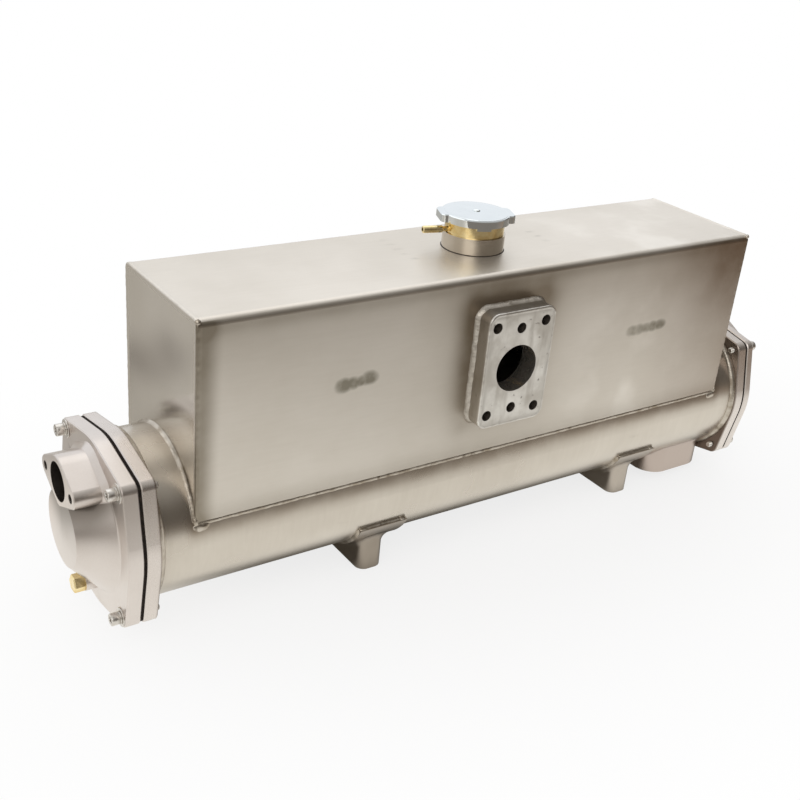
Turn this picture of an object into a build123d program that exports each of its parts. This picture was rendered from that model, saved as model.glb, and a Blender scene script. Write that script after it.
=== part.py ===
"""Shell and tube heat exchanger with a header tank welded along the top of its shell.

Millimetres, +Z up. The origin is on the floor, midway between the two feet and under
the shell's axis. X runs along the shell, and -Y is the side with the flanged port.
"""

import os
from math import sqrt

from build123d import *

# Shell: a pipe along X, open to the tank through windows in its top
shell_length = 686.0
shell_outer_radius = 71.77
shell_wall = 3.4
window_length = 110.0
window_width = 36.0
window_spacing = 280.0
window_count = 2

# Bolted joint at each end of the shell
flange_land = 4.73
flange_corner_radius = 9.0
flange_edge_break = 0.9
bolt_land = 9.69
bolt_clearance_radius = 3.3
shell_flange_thickness = 12.0
gasket_thickness = 2.6
gasket_recess = 1.3
gasket_lap = 6.37

# Tube stack
tube_outer_radius = 9.5
tube_wall = 1.6
tube_pitch = 25.4
tube_edge = 4.0
tube_sheet_thickness = 14.0

# Cast end covers: flange, truncated cone, oval inlet nozzle and drain boss
left_cover_flange = 13.0
right_cover_flange = 8.5
cover_wall = 6.0
dome_depth = 25.6
dome_step = 2.0
dome_taper = 27.0
dome_end_round = 5.0
dome_root_round = 4.0
nozzle_height = 27.4
nozzle_inset = 16.0
nozzle_middle_radius = 22.0
nozzle_tip_radius = 9.0
nozzle_bolt_spacing = 58.0
nozzle_bore_radius = 16.5
nozzle_bolt_radius = 4.0
nozzle_bolt_depth = 16.0
nozzle_edge_break = 0.8
nozzle_root = 5.0
drain_inset = 4.0
drain_boss_radius = 8.5
drain_boss_height = 10.5
drain_hole_radius = 5.0
plug_across_flats = 14.0
plug_head_height = 9.5
plug_edge_break = 1.0
plug_shank_length = 12.0

# Header tank: one bent sheet for front, top and back, and two end plates
tank_setback = 43.0
tank_inset = 2.87
tank_height = 121.83
tank_sheet = 3.0
tank_bend_radius = 6.0

# Flanged port on the tank's front wall
port_offset = -2.4
port_place_share = 0.5324
port_width = 74.5
port_plate_shift = 1.25
port_height = 110.0
port_thickness = 18.0
port_corner_radius = 10.0
port_edge_break = 2.0
port_bore_radius = 22.2
port_hole_margin = 1.3
port_bolt_edge_across = 10.25
port_bolt_edge_up = 13.0
port_middle_bolt_edge = 16.5
port_bolt_radius = 5.0
port_bolt_depth = 15.0

# Filler neck on the tank's top
neck_offset = 2.0
neck_cup_radius = 27.0
neck_wall = 4.0
neck_height = 16.15
neck_lip = 2.5
neck_lip_thickness = 3.0
neck_spigot_step = 2.0
neck_spigot_reach = 6.0
collar_step = 1.5
collar_height = 15.0
neck_seat_width = 6.0
neck_seat_depth = 17.0
neck_seat_thickness = 2.2

# Overflow spout in the side of the neck
spout_angle = 167.0
spout_rise = 2.6
spout_radius = 3.3
spout_stem_radius = 2.4
spout_bore_radius = 1.6
spout_stem_length = 4.5
spout_length = 19.0
spout_edge_break = 0.6
spout_inset = 1.5

# Pressure cap: a pressed cup with two grip ears and two bent tangs, turning on the neck
cap_angle = -22.0
cap_plate = 1.5
cap_wall = 1.2
cap_depth = 7.0
cap_skirt_gap = 0.5
cap_edge_break = 0.8
cap_ear_length = 3.3
cap_ear_width = 26.0
cap_ear_corner = 5.0
cap_ear_root_round = 1.4
cap_tang_width = 13.0
cap_tang_depth = 9.0
cap_rivet_radius = 2.2
cap_rivet_height = 1.2

# Feet on curved saddle plates, and the outlet block under the shell
left_foot_inset = 228.7
right_foot_inset = 139.8
foot_height = 15.0
foot_width = 25.5
foot_length = 102.0
foot_corner_radius = 9.0
foot_bolt_edge = 15.0
foot_bolt_radius = 4.25
foot_bolt_depth = 20.0
saddle_width = 50.0
saddle_plate = 3.0
saddle_drop = 35.0
outlet_inset = 55.5
outlet_width = 83.0
outlet_length = 102.0
outlet_corner_radius = 23.0
outlet_depth = 9.23
outlet_bore_radius = 22.2
outlet_bolt_edge = 12.0
outlet_bolt_radius = 4.25
outlet_bolt_depth = 16.0

# Fits
weld_gap = 0.2
slip_gap = 0.15
turn_gap = 0.35
hook_gap = 0.5
cut_overrun = 20.0

# Places worked out from the sizes above
shell_inner_radius = shell_outer_radius - shell_wall
saddle_seat_radius = shell_outer_radius + weld_gap
saddle_outer_radius = saddle_seat_radius + saddle_plate
shell_axis_height = saddle_outer_radius + weld_gap + foot_height
shell_middle = (right_foot_inset - left_foot_inset) / 2
shell_axis = Axis((shell_middle, 0, shell_axis_height), (1, 0, 0))
feet_spacing = shell_length - left_foot_inset - right_foot_inset
flange_middle_radius = shell_outer_radius + flange_land
bolt_spacing = sqrt(2) * (shell_outer_radius + bolt_land)
gasket_inner_radius = shell_inner_radius - gasket_lap
dome_base_radius = gasket_inner_radius - dome_step
dome_end_radius = dome_base_radius - dome_taper
dome_slope = dome_taper / dome_depth
wall_across = cover_wall * sqrt(1 + dome_slope**2)
hollow_end_radius = dome_end_radius + dome_slope * cover_wall - wall_across
nozzle_rise = dome_base_radius - nozzle_inset
drain_drop = dome_base_radius - drain_inset
tank_length = shell_length - 2 * tank_setback
tank_front = shell_outer_radius - tank_inset
tank_width = 2 * tank_front
tank_rise = shell_outer_radius + tank_height
tank_top = shell_axis_height + tank_rise
tank_seat_radius = shell_outer_radius + weld_gap
wall_foot = sqrt(tank_seat_radius**2 - tank_front**2)
wall_top = tank_rise - tank_bend_radius
port_x = shell_middle + port_offset
port_z = shell_axis_height + wall_foot + port_place_share * (wall_top - wall_foot)
port_bolts_across = port_width - 2 * port_bolt_edge_across
port_bolts_up = port_height - 2 * port_bolt_edge_up
port_middle_bolts = port_height - 2 * port_middle_bolt_edge
neck_x = shell_middle + neck_offset
neck_spigot_radius = neck_cup_radius - neck_spigot_step
neck_lip_radius = neck_cup_radius + neck_lip
neck_bore_radius = neck_cup_radius - neck_wall
neck_seat_radius = neck_bore_radius - neck_seat_width
collar_outer_radius = neck_cup_radius + collar_step
collar_top = tank_top + collar_height
neck_top = collar_top + neck_height
cap_skirt_radius = neck_lip_radius + cap_skirt_gap + cap_wall
cap_ear_reach = cap_skirt_radius + cap_ear_length
cap_underside = neck_top + turn_gap
cap_top = cap_underside + cap_plate
foot_bolts = foot_length - 2 * foot_bolt_edge
outlet_x = shell_middle + shell_length / 2 - outlet_inset
outlet_face = shell_axis_height - shell_outer_radius - outlet_depth
outlet_bolts_along = outlet_width - 2 * outlet_bolt_edge
outlet_bolts_across = outlet_length - 2 * outlet_bolt_edge
ends = {"left": -1, "right": 1}
cover_flanges = {"left": left_cover_flange, "right": right_cover_flange}
feet = {"left": -feet_spacing / 2, "right": feet_spacing / 2}

# Triangular tube layout: as many whole rings about the middle tube as the shell holds
row_share = sqrt(3) / 2
tube_rings = int((shell_inner_radius - tube_edge - tube_outer_radius) / tube_pitch)
tube_steps = range(-tube_rings, tube_rings + 1)
tube_places = [
    (tube_pitch * (step + row / 2), tube_pitch * row * row_share)
    for row in tube_steps
    for step in tube_steps
    if abs(row + step) <= tube_rings
]

os.makedirs("parts", exist_ok=True)


def write_node(builder, node):
    """Label a finished piece and write it as the node of that name."""
    builder.part.label = node
    export_step(builder.part, f"parts/{node}.step")


def end_plane(side, reach):
    """Plane across the shell at one end, its normal outwards, reach beyond the shell's face."""
    x = shell_middle + side * (shell_length / 2 + reach)
    return Plane(origin=(x, 0, shell_axis_height), x_dir=(0, side, 0), z_dir=(side, 0, 0))


def end_section(side):
    """Plane through the shell's axis at one end: outwards from the shell's face, and up."""
    x = shell_middle + side * shell_length / 2
    return Plane(origin=(x, 0, shell_axis_height), x_dir=(side, 0, 0), z_dir=(0, -side, 0))


def flange_outline(inset):
    """Round middle and four corner bosses, wrapped in one outline."""
    Circle(flange_middle_radius - inset)
    with GridLocations(bolt_spacing, bolt_spacing, 2, 2):
        Circle(flange_corner_radius - inset)
    make_hull()


def flange_bolt_holes():
    """Clearance holes at the four corners of a flange."""
    with GridLocations(bolt_spacing, bolt_spacing, 2, 2):
        Circle(bolt_clearance_radius, mode=Mode.SUBTRACT)


def nozzle_outline(margin):
    """Oval of the two-bolt nozzle: a round middle and two bolt bosses, wrapped in one outline."""
    with Locations((0, nozzle_rise)):
        Circle(nozzle_middle_radius + margin)
        with GridLocations(nozzle_bolt_spacing, nozzle_rise, 2, 1):
            Circle(nozzle_tip_radius + margin)
    make_hull()


def tank_section(inset):
    """Section of the tank above the shell's axis, with its two top corners rounded."""
    with Locations((0, shell_axis_height)):
        section = Rectangle(
            tank_width - 2 * inset, tank_rise - inset, align=(Align.CENTER, Align.MIN)
        )
    top_corners = section.vertices().group_by(Axis.Y)[-1]
    fillet(top_corners, tank_bend_radius - inset)


def cap_outline(inset):
    """Plan of the pressure cap: a disc with a grip ear on two opposite sides."""
    Circle(cap_skirt_radius - inset)
    RectangleRounded(
        2 * (cap_ear_reach - inset), cap_ear_width - 2 * inset, cap_ear_corner - inset
    )


# Shell tube, with the windows into the tank and the hole into the outlet block
with BuildPart() as shell_tube:
    with BuildSketch(end_plane(ends["left"], 0)):
        Circle(shell_outer_radius)
        Circle(shell_inner_radius, mode=Mode.SUBTRACT)
    extrude(amount=-shell_length)
    with BuildSketch(Plane.XY.offset(shell_axis_height)):
        with Locations((shell_middle, 0)):
            with GridLocations(window_spacing, window_width, window_count, 1):
                SlotOverall(window_length, window_width)
    extrude(amount=shell_outer_radius + cut_overrun, mode=Mode.SUBTRACT)
    with BuildSketch(Plane.XY.offset(shell_axis_height)):
        with Locations((outlet_x, 0)):
            Circle(outlet_bore_radius)
    extrude(amount=-shell_outer_radius - cut_overrun, mode=Mode.SUBTRACT)
write_node(shell_tube, "shell_tube")

# Tubes, one solid each, flush with the outer faces of the two tube sheets
with BuildPart() as tube_bundle:
    with BuildSketch(end_plane(ends["left"], 0)):
        with Locations(*tube_places):
            Circle(tube_outer_radius)
            Circle(tube_outer_radius - tube_wall, mode=Mode.SUBTRACT)
    extrude(amount=-shell_length)
write_node(tube_bundle, "tube_bundle")

for name, side in ends.items():
    # Tube sheet, slid into the end of the shell and held by the cover's gasket
    with BuildPart() as tube_sheet:
        with BuildSketch(end_plane(side, 0)):
            Circle(shell_inner_radius - slip_gap)
            with Locations(*tube_places):
                Circle(tube_outer_radius + slip_gap, mode=Mode.SUBTRACT)
        extrude(amount=-tube_sheet_thickness)
    write_node(tube_sheet, f"tube_sheet_{name}")

    # Flange welded round the end of the shell
    with BuildPart() as shell_flange:
        with BuildSketch(end_plane(side, 0)):
            flange_outline(0)
            Circle(shell_outer_radius + weld_gap, mode=Mode.SUBTRACT)
            flange_bolt_holes()
        extrude(amount=-shell_flange_thickness)
        rims = shell_flange.faces().filter_by(Axis.X)
        chamfer([rim.outer_wire().edges() for rim in rims], flange_edge_break)
    write_node(shell_flange, f"shell_flange_{name}")

    # Gasket, a little smaller than the flanges
    with BuildPart() as gasket:
        with BuildSketch(end_plane(side, 0)):
            flange_outline(gasket_recess)
            Circle(gasket_inner_radius, mode=Mode.SUBTRACT)
            flange_bolt_holes()
        extrude(amount=gasket_thickness)
    write_node(gasket, f"gasket_{name}")

    # End cover: flange, cone, nozzle and drain boss round a hollow of even wall
    cover_flange = cover_flanges[name]
    cover_face = gasket_thickness + cover_flange
    nozzle_face = cover_face + nozzle_height
    drain_face = cover_face + drain_boss_height
    hollow_end = cover_face + dome_depth - cover_wall
    with BuildPart() as end_cover:
        with BuildSketch(end_plane(side, gasket_thickness)):
            flange_outline(0)
        extrude(amount=cover_flange)
        rims = end_cover.faces().filter_by(Axis.X)
        chamfer([rim.outer_wire().edges() for rim in rims], flange_edge_break)
        with BuildSketch(end_section(side)) as dome:
            with BuildLine():
                Polyline(
                    (gasket_thickness, 0),
                    (gasket_thickness, dome_base_radius + dome_root_round),
                    (cover_face, dome_base_radius + dome_root_round),
                    (cover_face, dome_base_radius),
                    (cover_face + dome_depth, dome_end_radius),
                    (cover_face + dome_depth, 0),
                    close=True,
                )
            make_face()
            profile_corners = dome.vertices().group_by(Axis.X)
            root_corner = profile_corners[1].sort_by(Axis.Y)[0]
            end_corner = profile_corners[2].sort_by(Axis.Y)[-1]
            fillet(root_corner, dome_root_round)
            fillet(end_corner, dome_end_round)
        revolve(axis=shell_axis)
        with BuildSketch(end_plane(side, cover_face)):
            nozzle_outline(nozzle_root)
        with BuildSketch(end_plane(side, cover_face + nozzle_root)):
            nozzle_outline(0)
        loft()
        with BuildSketch(end_plane(side, gasket_thickness)):
            nozzle_outline(0)
        extrude(amount=nozzle_face - gasket_thickness)
        nozzle_end = end_cover.faces().filter_by(Axis.X).sort_by(Axis((0, 0, 0), (side, 0, 0)))[-1]
        chamfer(nozzle_end.edges(), nozzle_edge_break)
        with BuildSketch(end_plane(side, gasket_thickness)):
            with Locations((0, -drain_drop)):
                Circle(drain_boss_radius)
        extrude(amount=drain_face - gasket_thickness)
        with BuildSketch(end_section(side)):
            with BuildLine():
                Polyline(
                    (gasket_thickness, 0),
                    (gasket_thickness, gasket_inner_radius),
                    (cover_face, dome_base_radius - wall_across),
                    (hollow_end, hollow_end_radius),
                    (hollow_end, 0),
                    close=True,
                )
            make_face()
        revolve(axis=shell_axis, mode=Mode.SUBTRACT)
        with BuildSketch(end_plane(side, nozzle_face)):
            with Locations((0, nozzle_rise)):
                Circle(nozzle_bore_radius)
        extrude(amount=-nozzle_face, mode=Mode.SUBTRACT)
        with BuildSketch(end_plane(side, nozzle_face)):
            with Locations((0, nozzle_rise)):
                with GridLocations(nozzle_bolt_spacing, nozzle_rise, 2, 1):
                    Circle(nozzle_bolt_radius)
        extrude(amount=-nozzle_bolt_depth, mode=Mode.SUBTRACT)
        with BuildSketch(end_plane(side, drain_face)):
            with Locations((0, -drain_drop)):
                Circle(drain_hole_radius)
        extrude(amount=-drain_face, mode=Mode.SUBTRACT)
        with BuildSketch(end_plane(side, gasket_thickness)):
            with GridLocations(bolt_spacing, bolt_spacing, 2, 2):
                Circle(bolt_clearance_radius)
        extrude(amount=cover_flange, mode=Mode.SUBTRACT)
    write_node(end_cover, f"end_cover_{name}")

    # Hexagon drain plug, its shank in the drain boss
    with BuildPart() as drain_plug:
        with BuildSketch(end_plane(side, drain_face)):
            with Locations((0, -drain_drop)):
                RegularPolygon(plug_across_flats / 2, 6, major_radius=False)
        extrude(amount=plug_head_height)
        plug_end = drain_plug.faces().filter_by(Axis.X).sort_by(Axis((0, 0, 0), (side, 0, 0)))[-1]
        chamfer(plug_end.edges(), plug_edge_break)
        with BuildSketch(end_plane(side, drain_face)):
            with Locations((0, -drain_drop)):
                Circle(drain_hole_radius - slip_gap)
        extrude(amount=-plug_shank_length)
    write_node(drain_plug, f"drain_plug_{name}")

    # Tank end plate, inside the bent sheet and cut to the shell
    tank_end_face = shell_middle + side * tank_length / 2
    with BuildPart() as tank_end:
        with BuildSketch(Plane.YZ.offset(tank_end_face)):
            tank_section(tank_sheet + weld_gap)
            with Locations((0, shell_axis_height)):
                Circle(tank_seat_radius, mode=Mode.SUBTRACT)
        extrude(amount=-side * tank_sheet)
    write_node(tank_end, f"tank_end_{name}")

# Tank sheet: front, top and back in one bent piece, cut to the shell
with BuildPart() as tank_wrapper:
    with BuildSketch(Plane.YZ.offset(shell_middle - tank_length / 2)):
        tank_section(0)
    extrude(amount=tank_length)
    with BuildSketch(Plane.YZ.offset(shell_middle - tank_length / 2)):
        tank_section(tank_sheet)
    extrude(amount=tank_length, mode=Mode.SUBTRACT)
    with BuildSketch(Plane.YZ.offset(shell_middle - tank_length / 2)):
        with Locations((0, shell_axis_height)):
            Circle(tank_seat_radius)
    extrude(amount=tank_length, mode=Mode.SUBTRACT)
    with BuildSketch(Plane.XZ.offset(tank_front)):
        with Locations((port_x, port_z)):
            Circle(port_bore_radius + port_hole_margin)
    extrude(amount=-tank_sheet, mode=Mode.SUBTRACT)
    with BuildSketch(Plane.XY.offset(tank_top)):
        with Locations((neck_x, 0)):
            Circle(neck_spigot_radius + slip_gap)
    extrude(amount=-tank_sheet, mode=Mode.SUBTRACT)
write_node(tank_wrapper, "tank_wrapper")

# Flanged port welded to the tank's front wall
with BuildPart() as side_port:
    with BuildSketch(Plane.XZ.offset(tank_front)):
        with Locations((port_x + port_plate_shift, port_z)):
            RectangleRounded(port_width, port_height, port_corner_radius)
        with Locations((port_x, port_z)):
            Circle(port_bore_radius, mode=Mode.SUBTRACT)
    extrude(amount=port_thickness)
    outer_face = side_port.faces().filter_by(Axis.Y).sort_by(Axis.Y)[0]
    chamfer(outer_face.outer_wire().edges(), port_edge_break)
    with BuildSketch(Plane.XZ.offset(tank_front + port_thickness)):
        with Locations((port_x, port_z)):
            with GridLocations(port_bolts_across, port_bolts_up, 2, 2):
                Circle(port_bolt_radius)
            with GridLocations(port_width, port_middle_bolts, 1, 2):
                Circle(port_bolt_radius)
    extrude(amount=-port_bolt_depth, mode=Mode.SUBTRACT)
write_node(side_port, "side_port_flange")

# Collar welded to the tank's top
with BuildPart() as filler_collar:
    with BuildSketch(Plane.XY.offset(tank_top)):
        with Locations((neck_x, 0)):
            Circle(collar_outer_radius)
            Circle(neck_spigot_radius + slip_gap, mode=Mode.SUBTRACT)
    extrude(amount=collar_height)
write_node(filler_collar, "filler_collar")

# Filler neck: spigot in the collar, cup with the cap's lip, and the seat for its valve
neck_plane = Plane(origin=(neck_x, 0, 0), x_dir=(1, 0, 0), z_dir=(0, -1, 0))
neck_axis = Axis((neck_x, 0, 0), (0, 0, 1))
neck_bottom = tank_top - neck_spigot_reach
neck_seat = neck_top - neck_seat_depth
neck_lower_bore = neck_spigot_radius - neck_wall / 2
spout_direction = Vector(1, 0, 0).rotate(Axis.Z, spout_angle)
spout_plane = Plane(
    origin=(neck_x, 0, collar_top + spout_rise),
    x_dir=spout_direction,
    z_dir=spout_direction.cross(Vector(0, 0, 1)),
)
spout_axis = Axis(spout_plane.origin, spout_direction)
spout_across = Plane(origin=spout_plane.origin, z_dir=spout_direction)
with BuildPart() as filler_neck:
    with BuildSketch(neck_plane):
        with BuildLine():
            Polyline(
                (neck_spigot_radius, neck_bottom),
                (neck_spigot_radius, collar_top),
                (neck_cup_radius, collar_top),
                (neck_cup_radius, neck_top - neck_lip_thickness),
                (neck_lip_radius, neck_top - neck_lip_thickness),
                (neck_lip_radius, neck_top),
                (neck_bore_radius, neck_top),
                (neck_bore_radius, neck_seat),
                (neck_seat_radius, neck_seat),
                (neck_seat_radius, neck_seat - neck_seat_thickness),
                (neck_lower_bore, neck_seat - neck_seat_thickness),
                (neck_lower_bore, neck_bottom),
                close=True,
            )
        make_face()
    revolve(axis=neck_axis)
    with BuildSketch(spout_across):
        Circle(spout_stem_radius + slip_gap)
    extrude(amount=neck_cup_radius + cut_overrun, mode=Mode.SUBTRACT)
write_node(filler_neck, "filler_neck")

# Overflow spout: a thin stem in the neck's wall and a thicker hose end
spout_root = neck_cup_radius - spout_inset
spout_shoulder = neck_cup_radius + spout_stem_length
spout_tip = spout_shoulder + spout_length
with BuildPart() as overflow_spout:
    with BuildSketch(spout_plane):
        with BuildLine():
            Polyline(
                (spout_root, spout_bore_radius),
                (spout_root, spout_stem_radius),
                (spout_shoulder, spout_stem_radius),
                (spout_shoulder, spout_radius - spout_edge_break),
                (spout_shoulder + spout_edge_break, spout_radius),
                (spout_tip - spout_edge_break, spout_radius),
                (spout_tip, spout_radius - spout_edge_break),
                (spout_tip, spout_bore_radius),
                close=True,
            )
        make_face()
    revolve(axis=spout_axis)
write_node(overflow_spout, "overflow_spout")

# Pressure cap
cap_turn = Plane.XY.rotated((0, 0, cap_angle))
cap_plane = Plane(origin=(neck_x, 0, cap_top), x_dir=cap_turn.x_dir, z_dir=(0, 0, 1))
hook_top = cap_plate + turn_gap + neck_lip_thickness + hook_gap
with BuildPart() as pressure_cap:
    with BuildSketch(cap_plane) as cap_plan:
        cap_outline(0)
        ear_roots = cap_plan.vertices().sort_by(lambda corner: abs(corner.X))[:4]
        fillet(ear_roots, cap_ear_root_round)
    extrude(amount=-cap_depth)
    cap_face = pressure_cap.faces().filter_by(Axis.Z).sort_by(Axis.Z)[-1]
    chamfer(cap_face.edges(), cap_edge_break)
    with BuildSketch(cap_plane.offset(-cap_plate)):
        cap_outline(cap_wall)
    extrude(amount=-cap_depth, mode=Mode.SUBTRACT)
    with BuildSketch(cap_plane.offset(-hook_top)):
        Circle(cap_skirt_radius)
        Circle(neck_cup_radius + hook_gap, mode=Mode.SUBTRACT)
        Rectangle(cap_tang_width, 2 * cap_skirt_radius, mode=Mode.INTERSECT)
    extrude(amount=-(cap_tang_depth - hook_top))
    with BuildSketch(cap_plane):
        Circle(cap_rivet_radius)
    extrude(amount=cap_rivet_height)
write_node(pressure_cap, "pressure_cap")

for name, foot_x in feet.items():
    # Saddle plate bent round the underside of the shell
    with BuildPart() as saddle:
        with BuildSketch(Plane.YZ.offset(foot_x - saddle_width / 2)):
            with Locations((0, shell_axis_height)):
                Circle(saddle_outer_radius)
                Circle(saddle_seat_radius, mode=Mode.SUBTRACT)
            with Locations((0, shell_axis_height - saddle_drop)):
                Rectangle(
                    2 * saddle_outer_radius,
                    2 * saddle_outer_radius,
                    align=(Align.CENTER, Align.MIN),
                    mode=Mode.SUBTRACT,
                )
        extrude(amount=saddle_width)
    write_node(saddle, f"saddle_plate_{name}")

    # Foot block under the saddle, tapped from below
    with BuildPart() as foot:
        with BuildSketch(Plane.XY):
            with Locations((foot_x, 0)):
                RectangleRounded(foot_width, foot_length, foot_corner_radius)
        extrude(amount=shell_axis_height)
        with BuildSketch(Plane.YZ.offset(foot_x - foot_width)):
            with Locations((0, shell_axis_height)):
                Circle(saddle_outer_radius + weld_gap)
        extrude(amount=2 * foot_width, mode=Mode.SUBTRACT)
        with BuildSketch(Plane.XY):
            with Locations((foot_x, 0)):
                with GridLocations(foot_width, foot_bolts, 1, 2):
                    Circle(foot_bolt_radius)
        extrude(amount=foot_bolt_depth, mode=Mode.SUBTRACT)
    write_node(foot, f"foot_{name}")

# Outlet block under the shell, its port facing down
with BuildPart() as outlet_block:
    with BuildSketch(Plane.XY.offset(outlet_face)):
        with Locations((outlet_x, 0)):
            RectangleRounded(outlet_width, outlet_length, outlet_corner_radius)
            Circle(outlet_bore_radius, mode=Mode.SUBTRACT)
    extrude(amount=shell_axis_height - outlet_face)
    with BuildSketch(Plane.YZ.offset(outlet_x - outlet_width)):
        with Locations((0, shell_axis_height)):
            Circle(shell_outer_radius + weld_gap)
    extrude(amount=2 * outlet_width, mode=Mode.SUBTRACT)
    with BuildSketch(Plane.XY.offset(outlet_face)):
        with Locations((outlet_x, 0)):
            with GridLocations(outlet_bolts_along, outlet_bolts_across, 2, 2):
                Circle(outlet_bolt_radius)
    extrude(amount=outlet_bolt_depth, mode=Mode.SUBTRACT)
write_node(outlet_block, "outlet_block")
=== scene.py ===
"""Finishes, welds, fasteners and studio for a shell and tube heat exchanger with a header tank.

Metres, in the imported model's frame: X along the shell, -Y out of the side port, +Z up.
Every added shape is a grid of points worked out as whole arrays; every finish is a node graph.
"""

import bmesh
import bpy
import numpy as np
from mathutils import Matrix, Vector


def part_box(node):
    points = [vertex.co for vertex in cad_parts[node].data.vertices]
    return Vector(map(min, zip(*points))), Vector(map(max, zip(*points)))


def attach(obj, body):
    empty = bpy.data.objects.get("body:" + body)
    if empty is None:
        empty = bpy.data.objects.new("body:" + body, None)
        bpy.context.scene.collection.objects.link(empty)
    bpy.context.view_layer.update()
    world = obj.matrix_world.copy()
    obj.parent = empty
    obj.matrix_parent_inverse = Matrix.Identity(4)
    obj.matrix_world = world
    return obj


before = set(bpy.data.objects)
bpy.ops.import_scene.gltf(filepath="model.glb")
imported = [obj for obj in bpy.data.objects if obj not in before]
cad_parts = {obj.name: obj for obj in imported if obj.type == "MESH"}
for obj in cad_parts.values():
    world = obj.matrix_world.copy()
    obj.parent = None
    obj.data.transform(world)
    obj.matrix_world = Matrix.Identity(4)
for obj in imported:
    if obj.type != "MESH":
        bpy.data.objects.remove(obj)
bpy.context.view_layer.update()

# Units
mm = 0.001
full_turn = 2 * np.pi

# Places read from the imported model
shell_low, shell_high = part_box("shell_tube")
shell_radius = (shell_high.z - shell_low.z) / 2
axis_z = (shell_high.z + shell_low.z) / 2
tank_low, tank_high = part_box("tank_wrapper")
tank_left, tank_right = tank_low.x, tank_high.x
tank_front, tank_back, tank_top = tank_low.y, tank_high.y, tank_high.z
tank_ends = ((tank_left, -1), (tank_right, 1))
port_low, port_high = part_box("side_port_flange")
port_x, port_z = (port_low.x + port_high.x) / 2, (port_low.z + port_high.z) / 2
port_width, port_tall = port_high.x - port_low.x, port_high.z - port_low.z
collar_low, collar_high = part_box("filler_collar")
neck_x = (collar_low.x + collar_high.x) / 2
collar_radius = (collar_high.x - collar_low.x) / 2
cap_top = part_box("pressure_cap")[1].z
outlet_low, outlet_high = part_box("outlet_block")
ends = {"left": -1, "right": 1}
shell_end = {"left": shell_low.x, "right": shell_high.x}


def inner_face(name, side):
    """X of a shell flange's inner face."""
    low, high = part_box(f"shell_flange_{name}")
    return high.x if side < 0 else low.x


# Sizes that follow the model but can't be read from a node's box
bolt_reach = 57.6 * mm
tank_bend = 6 * mm
port_corner = 10 * mm
port_shift = 1.25 * mm
port_hole_radius = 5 * mm
port_bore_radius = 22.2 * mm
port_hole_depth = 15 * mm
port_hole_grid = (27 * mm, 42 * mm)
port_middle_reach = 38.5 * mm
nozzle_rise = 44 * mm
nozzle_height = 27.4 * mm
nozzle_bolt_reach = 29 * mm
nozzle_bore_radius = 16.5 * mm
nozzle_middle_radius = 22 * mm
nozzle_hole_radius = 4 * mm
nozzle_hole_depth = 16 * mm
foot_corner = 9 * mm
outlet_corner = 23 * mm
cap_rivet_height = 1.2 * mm
wall_foot = np.sqrt(shell_radius**2 - tank_front**2)
tank_rise = tank_top - axis_z

# Photograph's camera, solved on the edges of the tank, the shell and the flanges
shell_middle = (shell_low.x + shell_high.x) / 2
camera_place = (shell_middle - 0.62171, -0.76683, axis_z + 0.51454)
camera_forward = (0.52953, 0.72572, -0.43924)
camera_up = (0.18047, 0.40956, 0.89426)
camera_lens = 50.893
camera_sensor = 36.0
camera_clip = 0.01


class Value:
    """A shader socket. Arithmetic with other sockets or numbers adds Math nodes."""

    def __init__(self, graph, socket):
        self.graph = graph
        self.socket = socket

    def math(self, operation, *others):
        inputs = dict(enumerate((self, *others)))
        return self.graph.node("ShaderNodeMath", {"operation": operation}, inputs)

    def out(self, name):
        """Another output of the same node."""
        return Value(self.graph, self.socket.node.outputs[name])

    def __add__(self, other):
        return self.math("ADD", other)

    __radd__ = __add__

    def __sub__(self, other):
        return self.math("SUBTRACT", other)

    def __rsub__(self, other):
        return (self * -1).math("ADD", other)

    def __mul__(self, other):
        return self.math("MULTIPLY", other)

    __rmul__ = __mul__

    def __truediv__(self, other):
        return self.math("DIVIDE", other)

    def __abs__(self):
        return self.math("ABSOLUTE")

    def least(self, other):
        return self.math("MINIMUM", other)

    def most(self, other):
        return self.math("MAXIMUM", other)

    def rise(self, start, end):
        """Smooth step from 0 at start to 1 at end."""
        settings = {"interpolation_type": "SMOOTHSTEP"}
        return self.graph.node("ShaderNodeMapRange", settings, {0: self, 1: start, 2: end})

    def near(self, centre, width):
        """Bell of that half width about centre: exp(-((value - centre) / width)^2)."""
        offset = (self - centre) / width
        return (offset * offset * -1).math("EXPONENT")

    def within(self, start, end, soft):
        """1 between start and end, falling to 0 over soft on both sides."""
        return self.rise(start - soft, start) * (1 - self.rise(end, end + soft))


class Graph:
    """A node tree. One method adds any node: its settings first, then its inputs."""

    def __init__(self, tree):
        self.tree = tree
        tree.nodes.clear()

    def node(self, kind, settings=None, inputs=None, output=0):
        node = self.tree.nodes.new(kind)
        for name, value in (settings or {}).items():
            setattr(node, name, value)
        for key, value in (inputs or {}).items():
            if isinstance(value, Value):
                self.tree.links.new(value.socket, node.inputs[key])
            else:
                node.inputs[key].default_value = value
        return Value(self, node.outputs[output]) if len(node.outputs) else node

    def blend(self, low, high, amount):
        """Colour that runs from low to high as amount runs from 0 to 1."""
        return self.node("ShaderNodeMix", {"data_type": "RGBA"}, {0: amount, 6: low, 7: high}, 2)

    def split(self, vector):
        """The three components of a vector."""
        x = self.node("ShaderNodeSeparateXYZ", None, {0: vector})
        return x, x.out("Y"), x.out("Z")


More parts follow.
